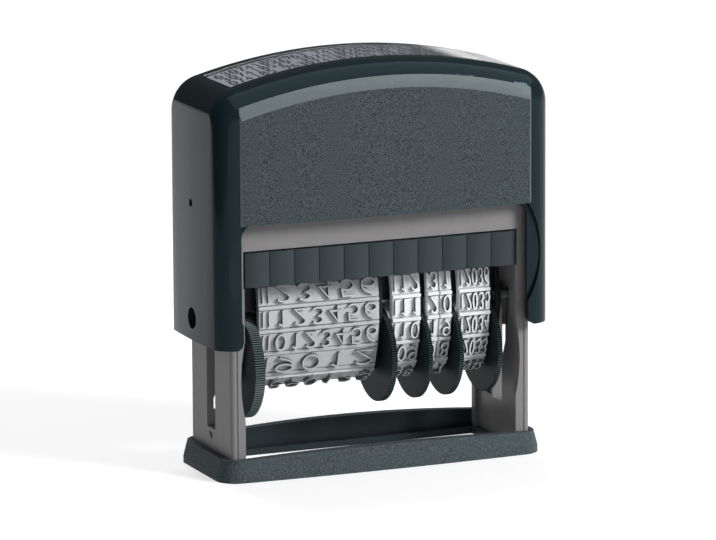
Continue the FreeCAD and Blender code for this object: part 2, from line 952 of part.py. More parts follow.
def type_band(name):
    x0, x1 = wheel_places[name][2:]
    inner = band_wire(x0)
    outer = inner.makeOffset2D(band_thickness)
    loop = Part.Face(outer).cut(Part.Face(inner)).extrude(V(x1 - x0, 0, 0))
    rows = round(outer.Length / row_pitch)
    ridge_height = word_ridge_height if name == "phrase" else date_ridge_height
    blocks = []
    for i in range(rows):
        point, run = walk(outer, i / rows)
        blocks.append(row_block(x0, x1, point, run, row_pad_length, band_pad_height))
        point, run = walk(outer, (i + 0.5) / rows)
        blocks.append(row_block(x0, x1, point, run, ridge_width, ridge_height))
    print(name, "rows", rows, "row pitch", round(outer.Length / rows, 3))
    body = fuse_all([loop] + blocks)
    cutter = Part.Face(inner).extrude(V(x1 - x0 + 2 * cut_past, 0, 0))
    cutter.translate(V(-cut_past, 0, 0))
    return body.cut(cutter)


# Thumb wheel: finely toothed disc with the drum that drives its band
def thumb_wheel(name):
    disc_from, disc_to, band_from, band_to = wheel_places[name]
    radius = word_wheel_radius if name == "phrase" else date_wheel_radius
    teeth = round(2 * math.pi * radius / knurl_pitch)
    points = []
    for i in range(2 * teeth):
        angle = math.pi * i / teeth
        r = radius - knurl_depth * (i % 2)
        points.append(V(disc_from, r * math.cos(angle), shaft_height + r * math.sin(angle)))
    disc = polygon_face(points).extrude(V(disc_to - disc_from, 0, 0))
    drum = rod_along_x(
        min(disc_to, band_from),
        max(disc_from, band_to),
        0,
        shaft_height,
        band_drum_radius - band_drum_gap,
    )
    bore = rod_along_x(-beyond / 2, beyond / 2, 0, shaft_height, shaft_radius + shaft_gap)
    return disc.fuse(drum).removeSplitter().cut(bore)


def return_spring():
    low = deck_top + spring_seat_gap + spring_wire / 2
    seat = crown_height - crown_wall - yoke_gap - yoke_thickness
    high = seat - spring_seat_gap - spring_wire / 2 - spring_crown_drop()
    climb = (high - low) / spring_half_turns
    rise = climb / math.pi

    def at(half_turns):
        angle = math.pi * half_turns
        place = V(
            spring_radius * math.cos(angle),
            spring_radius * math.sin(angle),
            low + climb * half_turns,
        )
        run = V(-spring_radius * math.sin(angle), spring_radius * math.cos(angle), rise)
        return place, run.normalize()

    edges = []
    for i in range(spring_half_turns):
        p0, t0 = at(i)
        p1, t1 = at(i + 1)
        edges += two_arcs(p0, t0, p1, t1)
    path = Part.Wire(edges)
    start, run = at(0)
    section = Part.Wire([Part.makeCircle(spring_wire / 2, start, run)])
    least = min(
        (at(i / 8)[0] - at(j / 8)[0]).Length
        for i in range(8 * spring_half_turns)
        for j in range(i + 8, 8 * spring_half_turns)
    )
    print("spring least gap to itself", round(least - spring_wire, 2))
    return path.makePipeShell([section], True, False)


# How far the arched yoke comes down over the spring's radius
def spring_crown_drop():
    radius = crown_radius - crown_wall - yoke_gap - yoke_thickness
    reach = spring_radius + spring_wire
    return radius - math.sqrt(radius**2 - reach**2)


save("base_skirt", base_skirt())
save("lower_frame", lower_frame())
save("cartridge_tray", cartridge_tray())
save("ink_pad", ink_pad())
save("outer_housing", outer_housing())
save("window_cap", window_cap())
save("label_card", label_card())
save("yoke", yoke())
save("return_spring", return_spring())
pin = axle_pin()
save("axle_pin_right", pin)
save("axle_pin_left", mirror_x(pin))
cheek = carrier_cheek()
save("carrier_cheek_right", cheek)
save("carrier_cheek_left", mirror_x(cheek))
follower = cam_follower()
save("cam_follower_right", follower)
save("cam_follower_left", mirror_x(follower))
save("centre_divider", centre_divider())
save("type_bar", type_bar())
save("wheel_shaft", wheel_shaft())
save("detent_spring", detent_spring())
for wheel_name in wheel_places:
    save(wheel_name + "_wheel", thumb_wheel(wheel_name))
    save(wheel_name + "_band", type_band(wheel_name))
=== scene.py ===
import math
import bpy
import bmesh
import numpy as np
from mathutils import Matrix, Vector


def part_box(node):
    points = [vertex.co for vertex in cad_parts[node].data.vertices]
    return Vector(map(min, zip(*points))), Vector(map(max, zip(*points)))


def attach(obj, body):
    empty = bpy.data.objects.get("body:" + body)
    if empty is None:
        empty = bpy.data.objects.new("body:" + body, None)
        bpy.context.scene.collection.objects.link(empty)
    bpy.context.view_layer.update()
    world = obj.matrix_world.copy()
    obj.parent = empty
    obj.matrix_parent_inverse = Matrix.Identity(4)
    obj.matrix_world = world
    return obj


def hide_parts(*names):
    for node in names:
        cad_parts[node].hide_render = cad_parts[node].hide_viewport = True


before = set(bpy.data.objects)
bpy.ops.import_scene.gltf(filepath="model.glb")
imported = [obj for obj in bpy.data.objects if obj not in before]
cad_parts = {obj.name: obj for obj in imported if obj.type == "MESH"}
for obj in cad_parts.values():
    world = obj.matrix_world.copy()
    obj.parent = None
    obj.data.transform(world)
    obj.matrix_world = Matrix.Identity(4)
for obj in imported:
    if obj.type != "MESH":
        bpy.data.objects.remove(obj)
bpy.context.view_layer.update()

mm = 0.001
scene = bpy.context.scene
print("frame loaded:", len(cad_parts), "nodes")

# Camera: it stands back from a pivot inside the object and looks at the aim point
cameraSet = {
    "azimuth": -22.9,
    "elevation": 11.04,
    "roll": -0.32,
    "distance": 1.0403,
    "pivot": (0.0, 0.0, 0.040),
    "aim": (-0.0007, -0.0007, 0.0355),
    "lens": 282.5,
    "clip": (0.05, 30.0),
}


def placeCamera(s):
    a, e = math.radians(s["azimuth"]), math.radians(s["elevation"])
    away = Vector((math.sin(a) * math.cos(e), -math.cos(a) * math.cos(e), math.sin(e)))
    place = Vector(s["pivot"]) + away * s["distance"]
    back = (place - Vector(s["aim"])).normalized()
    right = Vector((0, 0, 1)).cross(back).normalized()
    roll = math.radians(s["roll"])
    across = right * math.cos(roll) + back.cross(right) * math.sin(roll)
    up = back.cross(across)
    camera = bpy.data.objects.new("studioCamera", bpy.data.cameras.new("studioCamera"))
    camera.matrix_world = Matrix(
        (
            (across.x, up.x, back.x, place.x),
            (across.y, up.y, back.y, place.y),
            (across.z, up.z, back.z, place.z),
            (0, 0, 0, 1),
        )
    )
    camera.data.lens = s["lens"]
    camera.data.clip_start, camera.data.clip_end = s["clip"]
    scene.collection.objects.link(camera)
    scene.camera = camera


placeCamera(cameraSet)
print("camera placed")


# Small helpers for node trees
def addNode(tree, kind, x, y, **values):
    node = tree.nodes.new(kind)
    node.location = (x, y)
    for name, value in values.items():
        setattr(node, name, value)
    return node


def newGroup(name, inputs, outputs):
    group = bpy.data.node_groups.new(name, "ShaderNodeTree")
    for label, kind, start in inputs:
        socket = group.interface.new_socket(label, in_out="INPUT", socket_type=kind)
        if start is not None:
            socket.default_value = start
    for label, kind in outputs:
        group.interface.new_socket(label, in_out="OUTPUT", socket_type=kind)
    return group, addNode(group, "NodeGroupInput", -900, 0), addNode(group, "NodeGroupOutput", 700, 0)


def mathNode(tree, operation, x, y, a=None, b=None):
    node = addNode(tree, "ShaderNodeMath", x, y, operation=operation)
    for i, value in enumerate((a, b)):
        if isinstance(value, (int, float)):
            node.inputs[i].default_value = value
        elif value is not None:
            tree.links.new(value, node.inputs[i])
    return node.outputs[0]


# Moulded grain: fine bumps of one size with a slower drift, as a height and a tone around 1
grainSet = {"fineDetail": 2.0, "fineRoughness": 0.55, "slowScale": 90.0, "slowDetail": 3.0, "middle": 0.5}


def makeGrainGroup(s):
    group, start, end = newGroup(
        "mouldedGrain",
        [
            ("Size", "NodeSocketFloat", 0.3),
            ("Tone", "NodeSocketFloat", 0.2),
            ("Drift", "NodeSocketFloat", 0.05),
        ],
        [("Height", "NodeSocketFloat"), ("Tone", "NodeSocketFloat")],
    )
    place = addNode(group, "ShaderNodeTexCoord", -900, -300)
    scale = mathNode(group, "DIVIDE", -700, 100, 1 / mm, start.outputs["Size"])
    fine = addNode(group, "ShaderNodeTexNoise", -500, 100)
    fine.inputs["Detail"].default_value = s["fineDetail"]
    fine.inputs["Roughness"].default_value = s["fineRoughness"]
    group.links.new(place.outputs["Object"], fine.inputs["Vector"])
    group.links.new(scale, fine.inputs["Scale"])
    slow = addNode(group, "ShaderNodeTexNoise", -500, -200)
    slow.inputs["Scale"].default_value = s["slowScale"]
    slow.inputs["Detail"].default_value = s["slowDetail"]
    group.links.new(place.outputs["Object"], slow.inputs["Vector"])
    fineOff = mathNode(group, "SUBTRACT", -280, 100, fine.outputs["Fac"], s["middle"])
    slowOff = mathNode(group, "SUBTRACT", -280, -200, slow.outputs["Fac"], s["middle"])
    fineTone = mathNode(group, "MULTIPLY", -80, 100, fineOff, start.outputs["Tone"])
    slowTone = mathNode(group, "MULTIPLY", -80, -200, slowOff, start.outputs["Drift"])
    both = mathNode(group, "ADD", 120, 0, fineTone, slowTone)
    tone = mathNode(group, "ADD", 320, 0, both, 1.0)
    group.links.new(fine.outputs["Fac"], end.inputs["Height"])
    group.links.new(tone, end.inputs["Tone"])
    return group


# Fine rubbing marks: stretched noise that lightens the surface along one direction
rubSet = {"scale": 700.0, "detail": 4.0, "bareUpTo": 0.5, "fullFrom": 0.8}


def makeRubGroup(s):
    group, start, end = newGroup(
        "rubbingMarks",
        [("Amount", "NodeSocketFloat", 0.1), ("Along", "NodeSocketVector", (1.0, 1.0, 0.1))],
        [("Mask", "NodeSocketFloat")],
    )
    place = addNode(group, "ShaderNodeTexCoord", -900, -300)
    stretch = addNode(group, "ShaderNodeVectorMath", -700, -100, operation="MULTIPLY")
    group.links.new(place.outputs["Object"], stretch.inputs[0])
    group.links.new(start.outputs["Along"], stretch.inputs[1])
    marks = addNode(group, "ShaderNodeTexNoise", -500, -100)
    marks.inputs["Scale"].default_value = s["scale"]
    marks.inputs["Detail"].default_value = s["detail"]
    group.links.new(stretch.outputs[0], marks.inputs["Vector"])
    ramp = addNode(group, "ShaderNodeMapRange", -280, -100)
    ramp.inputs["From Min"].default_value = s["bareUpTo"]
    ramp.inputs["From Max"].default_value = s["fullFrom"]
    group.links.new(marks.outputs["Fac"], ramp.inputs["Value"])
    mask = mathNode(group, "MULTIPLY", 0, -100, ramp.outputs[0], start.outputs["Amount"])
    group.links.new(mask, end.inputs["Mask"])
    return group


grainGroup = makeGrainGroup(grainSet)
rubGroup = makeRubGroup(rubSet)

# Moulded material: base colour times the grain's tone, rubbed lighter, with the grain as a bump.
# Here are the values of a finish that states none of its own.
usualFinish = {
    "drift": 0.1, "rub": 0.08, "along": (1.0, 1.0, 0.15), "metallic": 0.0, "ior": 1.45,
    "tint": (1.0, 1.0, 1.0), "roughnessSpread": (0.9, 1.1), "bumpDepth": 0.35,
}


def mouldedMaterial(name, own):
    s = {**usualFinish, **own}
    material = bpy.data.materials.new(name)
    material.use_nodes = True
    tree = material.node_tree
    shader = tree.nodes["Principled BSDF"]
    grain = addNode(tree, "ShaderNodeGroup", -900, 100, node_tree=grainGroup)
    grain.inputs["Size"].default_value = s["grain"]
    grain.inputs["Tone"].default_value = s["tone"]
    grain.inputs["Drift"].default_value = s["drift"]
    rub = addNode(tree, "ShaderNodeGroup", -900, -200, node_tree=rubGroup)
    rub.inputs["Amount"].default_value = s["rub"]
    rub.inputs["Along"].default_value = s["along"]
    toned = addNode(tree, "ShaderNodeVectorMath", -650, 150, operation="SCALE")
    toned.inputs[0].default_value = s["colour"]
    tree.links.new(grain.outputs["Tone"], toned.inputs["Scale"])
    mix = addNode(tree, "ShaderNodeMix", -420, 150, data_type="RGBA")
    mix.inputs["B"].default_value = (*s["rubbed"], 1.0)
    tree.links.new(rub.outputs["Mask"], mix.inputs["Factor"])
    tree.links.new(toned.outputs[0], mix.inputs["A"])
    tree.links.new(mix.outputs["Result"], shader.inputs["Base Color"])
    roughness = addNode(tree, "ShaderNodeMapRange", -420, -80)
    roughness.inputs["To Min"].default_value = s["roughness"] * s["roughnessSpread"][0]
    roughness.inputs["To Max"].default_value = s["roughness"] * s["roughnessSpread"][1]
    tree.links.new(grain.outputs["Height"], roughness.inputs["Value"])
    tree.links.new(roughness.outputs[0], shader.inputs["Roughness"])
    bump = addNode(tree, "ShaderNodeBump", -420, -350)
    bump.inputs["Strength"].default_value = s["bump"]
    bump.inputs["Distance"].default_value = s["grain"] * mm * s["bumpDepth"]
    tree.links.new(grain.outputs["Height"], bump.inputs["Height"])
    tree.links.new(bump.outputs["Normal"], shader.inputs["Normal"])
    shader.inputs["Metallic"].default_value = s["metallic"]
    shader.inputs["IOR"].default_value = s["ior"]
    shader.inputs["Specular Tint"].default_value = (*s["tint"], 1.0)
    # A glow is painted light: the surface gives off light in its own colour though it is no lamp
    if "glow" in s:
        shader.inputs["Emission Color"].default_value = (*s["colour"], 1.0)
        shader.inputs["Emission Strength"].default_value = s["glow"]
    return material


# Multiplies what feeds a material's base colour by a value, to paint shade and highlights into it
def shadeBy(material, value):
    tree = material.node_tree
    shader = tree.nodes["Principled BSDF"]
    colour = shader.inputs["Base Color"].links[0].from_socket
    scaled = addNode(tree, "ShaderNodeVectorMath", -200, 150, operation="SCALE")
    tree.links.new(colour, scaled.inputs[0])
    tree.links.new(value, scaled.inputs["Scale"])
    tree.links.new(scaled.outputs[0], shader.inputs["Base Color"])


# Tooth shading of a wheel by distance from the shaft, painted into its colour: a painted highlight at the
# tips, painted shade at the feet, and from there inwards the even tone of its faces. A stop is a place
# along the span, which starts at the tips and is two tooth depths long, and its tone.
toothSet = {
    "shaft": 19.5 * mm, "radius": 9.8 * mm, "depth": 0.2 * mm, "depthsInSpan": 2.0, "gain": 3.3,
    "stops": ((0.10, 0.62), (0.26, 0.12), (0.48, 0.03), (0.56, 0.30)), "tipHighlightTone": 1.0, "lastTone": 0.30,
}


def makeToothGroup(s):
    group, start, end = newGroup(
        "toothPaintedShade",
        [
            ("Shaft Height", "NodeSocketFloat", s["shaft"]),
            ("Radius", "NodeSocketFloat", s["radius"]),
            ("Depth", "NodeSocketFloat", s["depth"]),
        ],
        [("Tone", "NodeSocketFloat")],
    )
    place = addNode(group, "ShaderNodeTexCoord", -900, -300)
    parts = addNode(group, "ShaderNodeSeparateXYZ", -700, -300)
    group.links.new(place.outputs["Object"], parts.inputs[0])
    across = mathNode(group, "POWER", -500, -200, parts.outputs["Y"], 2.0)
    up = mathNode(group, "SUBTRACT", -500, -400, parts.outputs["Z"], start.outputs["Shaft Height"])
    upSquare = mathNode(group, "POWER", -320, -400, up, 2.0)
    square = mathNode(group, "ADD", -150, -300, across, upSquare)
    radius = mathNode(group, "SQRT", 0, -300, square)
    fromTip = mathNode(group, "SUBTRACT", 0, -100, start.outputs["Radius"], radius)
    share = mathNode(group, "DIVIDE", 150, -100, fromTip, start.outputs["Depth"])
    ramp = addNode(group, "ShaderNodeValToRGB", 300, -100)
    stops = ramp.color_ramp.elements
    stops[0].color = (s["tipHighlightTone"],) * 3 + (1,)
    stops[1].color = (s["lastTone"],) * 3 + (1,)
    for position, level in s["stops"]:
        stops.new(position).color = (level,) * 3 + (1,)
    along = mathNode(group, "DIVIDE", 220, 50, share, s["depthsInSpan"])
    group.links.new(along, ramp.inputs["Fac"])
    tone = mathNode(group, "MULTIPLY", 560, -100, ramp.outputs["Color"], s["gain"])
    group.links.new(tone, end.inputs["Tone"])
    return group


# Painted shade: dark lines in the creases where the grip's rounds meet, on its front and back faces
# alone. Their half width is a share of the pitch.
gripSet = {
    "end": 27.0 * mm, "length": 54.0 * mm, "rounds": 11, "face": 9.9 * mm,
    "halfLine": 0.04, "creaseShadeTone": 0.25,
}


def makeGripGroup(s):
    group, start, end = newGroup(
        "gripCreaseShade",
        [
            ("End", "NodeSocketFloat", s["end"]),
            ("Pitch", "NodeSocketFloat", s["length"] / s["rounds"]),
            ("Face", "NodeSocketFloat", s["face"]),
            ("Line", "NodeSocketFloat", s["halfLine"]),
        ],
        [("Tone", "NodeSocketFloat")],
    )
    place = addNode(group, "ShaderNodeTexCoord", -900, -300)
    parts = addNode(group, "ShaderNodeSeparateXYZ", -700, -300)
    group.links.new(place.outputs["Object"], parts.inputs[0])
    fromEnd = mathNode(group, "SUBTRACT", -500, -100, start.outputs["End"], parts.outputs["X"])
    turns = mathNode(group, "DIVIDE", -350, -100, fromEnd, start.outputs["Pitch"])
    share = mathNode(group, "FRACT", -200, -100, turns)
    other = mathNode(group, "SUBTRACT", -50, -200, 1.0, share)
    near = mathNode(group, "MINIMUM", 100, -100, share, other)
    light = addNode(group, "ShaderNodeMapRange", 250, -100, interpolation_type="SMOOTHSTEP")
    light.inputs["To Min"].default_value = s["creaseShadeTone"]
    group.links.new(near, light.inputs["Value"])
    group.links.new(start.outputs["Line"], light.inputs["From Max"])
    depth = mathNode(group, "ABSOLUTE", -350, -400, parts.outputs["Y"])
    outside = mathNode(group, "GREATER_THAN", -200, -400, depth, start.outputs["Face"])
    fade = addNode(group, "ShaderNodeMix", 450, -100, data_type="FLOAT")
    fade.inputs["A"].default_value = 1.0
    group.links.new(outside, fade.inputs["Factor"])
    group.links.new(light.outputs[0], fade.inputs["B"])
    group.links.new(fade.outputs["Result"], end.inputs["Tone"])
    return group


# The finishes: colours are linear values, and the grain's size and a wheel's radius are millimetres
finishes = {
    "housingGloss": {
        "colour": (0.0105, 0.0185, 0.0215), "rubbed": (0.015, 0.024, 0.027), "roughness": 0.07,
        "grain": 1.6, "tone": 0.1, "bump": 0.02, "ior": 1.21, "rub": 0.25, "tint": (0.55, 0.85, 0.92),
    },
    "housingPanel": {
        "colour": (0.046, 0.060, 0.065), "rubbed": (0.060, 0.077, 0.083), "roughness": 0.55,
        "grain": 0.21, "tone": 3.8, "bump": 1.0, "ior": 1.18, "rub": 0.2, "along": (1, 1, 1),
        "drift": 0.02,
    },
    # Partly a finer finish and partly painted sheen: the bevels are lighter because their upward tilt
    # catches light
    "housingBevel": {
        "colour": (0.125, 0.152, 0.158), "rubbed": (0.165, 0.195, 0.203), "roughness": 0.45,
        "grain": 0.13, "tone": 1.0, "bump": 0.4, "ior": 1.2, "rub": 0.5, "along": (0.15, 1, 1),
    },
    "baseGrain": {
        "colour": (0.066, 0.084, 0.091), "rubbed": (0.090, 0.108, 0.115), "roughness": 0.52,
        "grain": 0.24, "tone": 2.8, "bump": 0.8, "ior": 1.15, "rub": 0.3, "along": (1, 1, 1),
    },
    # Smooth finish of the pocket walls, darker in colour as painted shade inside the pocket
    "baseInside": {
        "colour": (0.028, 0.038, 0.042), "rubbed": (0.036, 0.046, 0.050), "roughness": 0.40,
        "grain": 0.5, "tone": 0.2, "bump": 0.1, "ior": 1.15, "rub": 0.2, "along": (1, 1, 1),
    },
    "frameGrey": {
        "colour": (0.212, 0.207, 0.207), "rubbed": (0.27, 0.265, 0.262), "roughness": 0.42,
        "grain": 0.16, "tone": 0.1, "bump": 0.12, "ior": 1.25, "rub": 0.18,
    },
    "trayDark": {
        "colour": (0.036, 0.048, 0.052), "rubbed": (0.050, 0.064, 0.068), "roughness": 0.40,
        "grain": 0.2, "tone": 0.15, "bump": 0.15, "ior": 1.2, "rub": 0.2,
    },
    # Painted light: the word wheel is painted lighter than the date wheels against the shade it stands in
    "wordWheelBlack": {
        "colour": (0.048, 0.066, 0.068), "rubbed": (0.064, 0.080, 0.083), "roughness": 0.38,
        "grain": 0.2, "tone": 0.3, "bump": 0.15, "ior": 1.25, "rub": 0.25, "radius": 9.8,
    },
    "dateWheelBlack": {
        "colour": (0.018, 0.027, 0.030), "rubbed": (0.030, 0.040, 0.043), "roughness": 0.40,
        "grain": 0.2, "tone": 0.3, "bump": 0.15, "ior": 1.13, "rub": 0.2, "radius": 9.15,
    },
    "unitPlastic": {
        "colour": (0.012, 0.0155, 0.016), "rubbed": (0.025, 0.03, 0.031), "roughness": 0.38,
        "grain": 0.3, "tone": 0.2, "bump": 0.12, "ior": 1.22,
    },
    "yokePlastic": {
        "colour": (0.022, 0.023, 0.024), "rubbed": (0.035, 0.036, 0.037), "roughness": 0.45,
        "grain": 0.3, "tone": 0.2, "bump": 0.12, "ior": 1.3,
    },
    "wordRubber": {
        "colour": (0.500, 0.515, 0.530), "rubbed": (0.42, 0.435, 0.45), "roughness": 0.5,
        "grain": 0.35, "tone": 0.12, "bump": 0.2, "ior": 1.3, "rub": 0.15, "along": (0.2, 1, 1),
    },
    # Painted light: the date bands are the word band's rubber made lighter against the shade among their
    # digits
    "dateRubber": {
        "colour": (0.820, 0.845, 0.860), "rubbed": (0.66, 0.68, 0.69), "roughness": 0.5,
        "grain": 0.35, "tone": 0.16, "bump": 0.2, "ior": 1.3, "rub": 0.2, "along": (0.2, 1, 1),
    },
    # Painted shade: the dark colour of the digits' flanks and ends stands for the shadow on their sides
    "rubberFlankShade": {
        "colour": (0.150, 0.156, 0.162), "rubbed": (0.24, 0.25, 0.26), "roughness": 0.6,
        "grain": 0.35, "tone": 0.3, "bump": 0.2, "ior": 1.25, "rub": 0.3, "along": (0.2, 1, 1),
    },
    "pinSteel": {
        "colour": (0.50, 0.50, 0.50), "rubbed": (0.36, 0.35, 0.34), "roughness": 0.28,
        "grain": 0.25, "tone": 0.15, "bump": 0.06, "metallic": 1.0,
    },
    "springSteel": {
        "colour": (0.44, 0.44, 0.46), "rubbed": (0.30, 0.29, 0.28), "roughness": 0.3,
        "grain": 0.3, "tone": 0.2, "bump": 0.06, "metallic": 1.0,
    },
    "inkFelt": {
        "colour": (0.012, 0.012, 0.022), "rubbed": (0.02, 0.02, 0.036), "roughness": 0.9,
        "grain": 0.12, "tone": 0.8, "bump": 0.9, "along": (1, 1, 1),
    },
    # Painted light: the card glows faintly, making up for light that the window's glass keeps from it
    "cardPaper": {
        "colour": (0.80, 0.83, 0.90), "rubbed": (0.72, 0.75, 0.83), "roughness": 0.6,
        "grain": 0.1, "tone": 0.06, "bump": 0.1, "along": (1, 1, 1), "glow": 0.12,
    },
    "cardInk": {
        "colour": (0.012, 0.013, 0.024), "rubbed": (0.02, 0.021, 0.034), "roughness": 0.5,
        "grain": 0.1, "tone": 0.3, "bump": 0.1, "along": (1, 1, 1),
    },
}
finish = {name: mouldedMaterial(name, s) for name, s in finishes.items()}


# Paints the tooth shade and highlight into each wheel's base colour
def paintToothShade(group, names):
    for name in names:
        tooth = addNode(finish[name].node_tree, "ShaderNodeGroup", -700, 400, node_tree=group)
        tooth.inputs["Radius"].default_value = finishes[name]["radius"] * mm
        shadeBy(finish[name], tooth.outputs["Tone"])


# Paints the crease shade into the grip's base colour
def paintGripCreaseShade(group, name):
    grip = addNode(finish[name].node_tree, "ShaderNodeGroup", -700, 400, node_tree=group)
    shadeBy(finish[name], grip.outputs["Tone"])


paintToothShade(makeToothGroup(toothSet), ("wordWheelBlack", "dateWheelBlack"))
paintGripCreaseShade(makeGripGroup(gripSet), "trayDark")

# Clear plastic of the window: full transmission, with faint rubbing marks in its roughness
clearSet = {
    "colour": (0.93, 0.94, 0.96), "ior": 1.46, "rub": 1.0, "along": (0.1, 1.0, 1.0),
    "smoothRoughness": 0.03, "rubbedRoughness": 0.16,
}


def clearMaterial(name, s):
    material = bpy.data.materials.new(name)
    material.use_nodes = True
    tree = material.node_tree
    shader = tree.nodes["Principled BSDF"]
    shader.inputs["Base Color"].default_value = (*s["colour"], 1)
    shader.inputs["Transmission Weight"].default_value = 1.0
    shader.inputs["IOR"].default_value = s["ior"]
    rub = addNode(tree, "ShaderNodeGroup", -700, 0, node_tree=rubGroup)
    rub.inputs["Amount"].default_value = s["rub"]
    rub.inputs["Along"].default_value = s["along"]
    haze = addNode(tree, "ShaderNodeMapRange", -420, 0)
    haze.inputs["To Min"].default_value = s["smoothRoughness"]
    haze.inputs["To Max"].default_value = s["rubbedRoughness"]
    tree.links.new(rub.outputs["Mask"], haze.inputs["Value"])
    tree.links.new(haze.outputs[0], shader.inputs["Roughness"])
    return material


finish["windowClear"] = clearMaterial("windowClear", clearSet)
print("materials:", len(finish))

wheelNames = ("phrase", "month", "tens", "units", "year")
nodeFinish = {
    "base_skirt": "baseGrain",
    "lower_frame": "frameGrey",
    "ink_pad": "inkFelt",
    "window_cap": "windowClear",
    "label_card": "cardPaper",
    "yoke": "yokePlastic",
    "axle_pin_left": "pinSteel",
    "axle_pin_right": "pinSteel",
    "return_spring": "springSteel",
    "carrier_cheek_left": "unitPlastic",
    "carrier_cheek_right": "unitPlastic",
    "cam_follower_left": "pinSteel",
    "cam_follower_right": "pinSteel",
    "centre_divider": "unitPlastic",
    "type_bar": "unitPlastic",
    "wheel_shaft": "pinSteel",
    "detent_spring": "springSteel",
}
for wheel in wheelNames:
    kind = "word" if wheel == "phrase" else "date"
    nodeFinish[wheel + "_wheel"] = kind + "WheelBlack"
    nodeFinish[wheel + "_band"] = kind + "Rubber"


# A node takes one finish in place of its own
def dressNode(node, material):
    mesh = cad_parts[node].data
    mesh.materials.clear()
    mesh.materials.append(material)


for node, name in nodeFinish.items():
    dressNode(node, finish[name])
print("nodes dressed:", len(nodeFinish))


# The base ring is grained outside and smooth on the walls of its pocket, whose darker colour is painted
# shade
pocketSet = {"halfWidth": 30.2 * mm, "halfDepth": 10.4 * mm, "lowest": 0.3 * mm}


def dressBase(s):
    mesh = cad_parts["base_skirt"].data
    mesh.materials.append(finish["baseInside"])
    count = len(mesh.polygons)
    centre = np.empty(count * 3)
    mesh.polygons.foreach_get("center", centre)
    x, y, z = np.abs(centre.reshape(-1, 3).T)
    inside = (x < s["halfWidth"]) & (y < s["halfDepth"]) & (z > s["lowest"])
    mesh.polygons.foreach_set("material_index", inside.astype(np.int32))


dressBase(pocketSet)


# A copy of a node's own shape with merged corners, so that its rounds shade smoothly. It keeps the
# node's outline and rides with the same body. Edges that turn by more than the angle stay sharp.
copySet = {"joinWithin": 2e-6, "normalWeight": 100}


def smoothCopy(node, pieceName, materials, sharpAngle, s):
    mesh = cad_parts[node].data.copy()
    mesh.name = pieceName
    shape = bmesh.new()
    shape.from_mesh(mesh)
    bmesh.ops.remove_doubles(shape, verts=shape.verts, dist=s["joinWithin"])
    shape.to_mesh(mesh)
    shape.free()
    mesh.materials.clear()
    for material in materials:
        mesh.materials.append(material)
    if mesh.attributes.get("custom_normal"):
        mesh.attributes.remove(mesh.attributes["custom_normal"])
    mesh.shade_smooth()
    mesh.set_sharp_from_angle(angle=math.radians(sharpAngle))
    piece = bpy.data.objects.new(pieceName, mesh)
    scene.collection.objects.link(piece)
    weighted = piece.modifiers.new("weightedNormals", "WEIGHTED_NORMAL")
    weighted.keep_sharp = True
    weighted.weight = s["normalWeight"]
    return piece


# Faces inside the panel's arched outline belong to the panels, and tilted ones to their bevels, whose
# lighter colour is partly painted sheen.
# The arch is a circle through the outline's two ends and its middle.
housingSet = {
    "sharpAngle": 22.0, "halfWidth": 28.9 * mm, "bottom": 48.0 * mm, "endTop": 69.65 * mm,
    "middleTop": 73.85 * mm, "leastDepth": 12.3 * mm,
    "frontTilt": 0.6, "bevelTilt": 0.12, "sideTilt": 0.3,
}


def housingZones(mesh, s):
    count = len(mesh.polygons)
    centre = np.empty(count * 3)
    normal = np.empty(count * 3)
    mesh.polygons.foreach_get("center", centre)
    mesh.polygons.foreach_get("normal", normal)
    x, y, z = centre.reshape(-1, 3).T
    normal = normal.reshape(-1, 3)
    rise = s["middleTop"] - s["endTop"]
    radius = (s["halfWidth"] ** 2 + rise**2) / (2 * rise)
    arch = s["middleTop"] - radius + np.sqrt(radius**2 - np.minimum(np.abs(x), radius) ** 2)
    inside = (np.abs(x) < s["halfWidth"]) & (z > s["bottom"]) & (z < arch)
    panel = inside & (np.abs(y) > s["leastDepth"]) & (np.abs(normal[:, 1]) > s["frontTilt"])
    outward = normal[:, 1] * y > 0
    bevel = panel & ((normal[:, 2] > s["bevelTilt"]) | (np.abs(normal[:, 0]) > s["sideTilt"]))
    zone = np.zeros(count, np.int32)
    zone[panel & outward] = 1
    zone[bevel & outward] = 2
    mesh.polygons.foreach_set("material_index", zone)


housing = smoothCopy(
    "outer_housing",
    "housing_shell",
    [finish["housingGloss"], finish["housingPanel"], finish["housingBevel"]],
    housingSet["sharpAngle"],
    copySet,
)
housingZones(housing.data, housingSet)
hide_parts("outer_housing")
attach(housing, "housing")
print("housing made:", len(housing.data.polygons), "faces")

# The ink cartridge in the same way, for the rounds of its grip
traySet = {"sharpAngle": 20.0}
tray = smoothCopy("cartridge_tray", "tray_shell", [finish["trayDark"]], traySet["sharpAngle"], copySet)
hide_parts("cartridge_tray")
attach(tray, "ink_cartridge")
print("cartridge made:", len(tray.data.polygons), "faces")


# Digit strokes in a cell one wide and two tall, from (0, 0) at the lower left.
# An arc is centre + radii * (cos, sin) of an angle that runs evenly from one end to the other.
def arcStroke(cx, cy, rx, ry, a0, a1, steps=14):
    angle = np.radians(np.linspace(a0, a1, steps + 1))
    return np.stack([cx + rx * np.cos(angle), cy + ry * np.sin(angle)], 1)


def joined(*runs):
    return np.concatenate([np.asarray(run, float) for run in runs])


